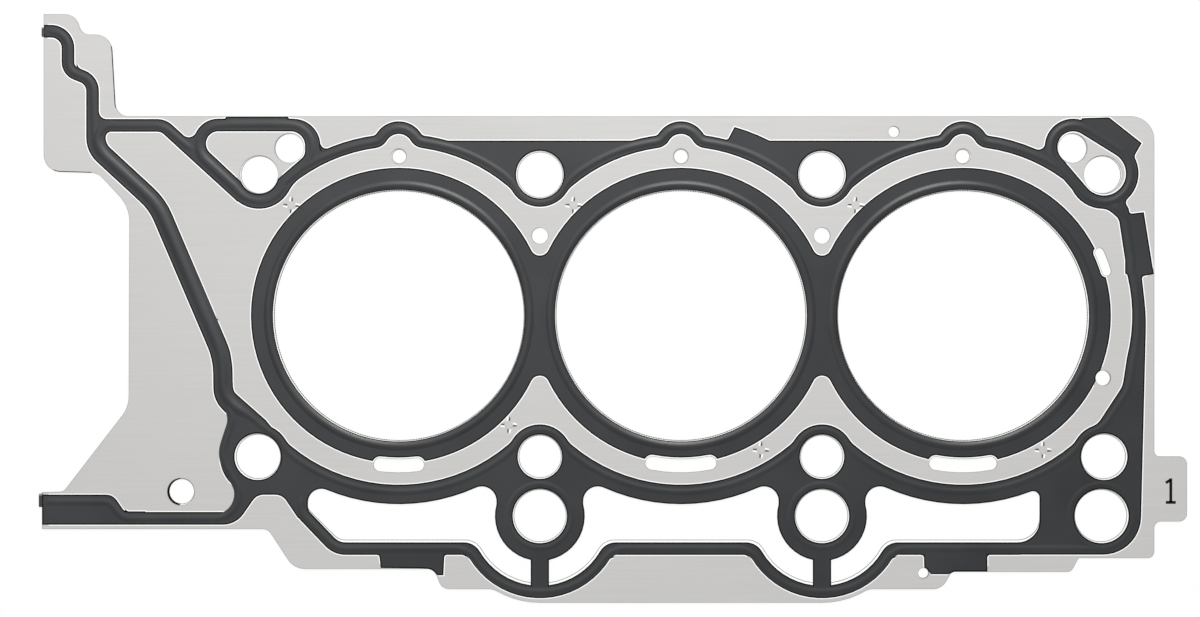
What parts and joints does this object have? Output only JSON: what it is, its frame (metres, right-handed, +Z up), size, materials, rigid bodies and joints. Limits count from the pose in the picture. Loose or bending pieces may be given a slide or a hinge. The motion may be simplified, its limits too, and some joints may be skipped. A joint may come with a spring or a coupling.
{
  "type": "cylinder head gasket",
  "caption": "Steel cylinder head gasket with three bores, dark printed sealing tracks, raised beads, coolant slots, bolt holes, oil windows and a timing case end",
  "frame": {"origin": "on the axis of the middle bore, in the plane where the two sheets touch", "axes": "+X along the row of cylinders towards the tab, away from the timing case; +Y across the row towards the coated side with the corner loops; +Z up, out of the printed face"},
  "size_m": [0.4383, 0.2253, 0.0011],
  "materials": {
    "bare_steel": "satin rolled stainless steel with a fine grain",
    "coating": "matt dark grey elastomer, printed"
  },
  "bodies": {
    "root": {"upper_sheet": "bare_steel", "lower_sheet": "bare_steel", "upper_track_print": "coating", "upper_bore_print": "coating"}
  },
  "joints": []
}
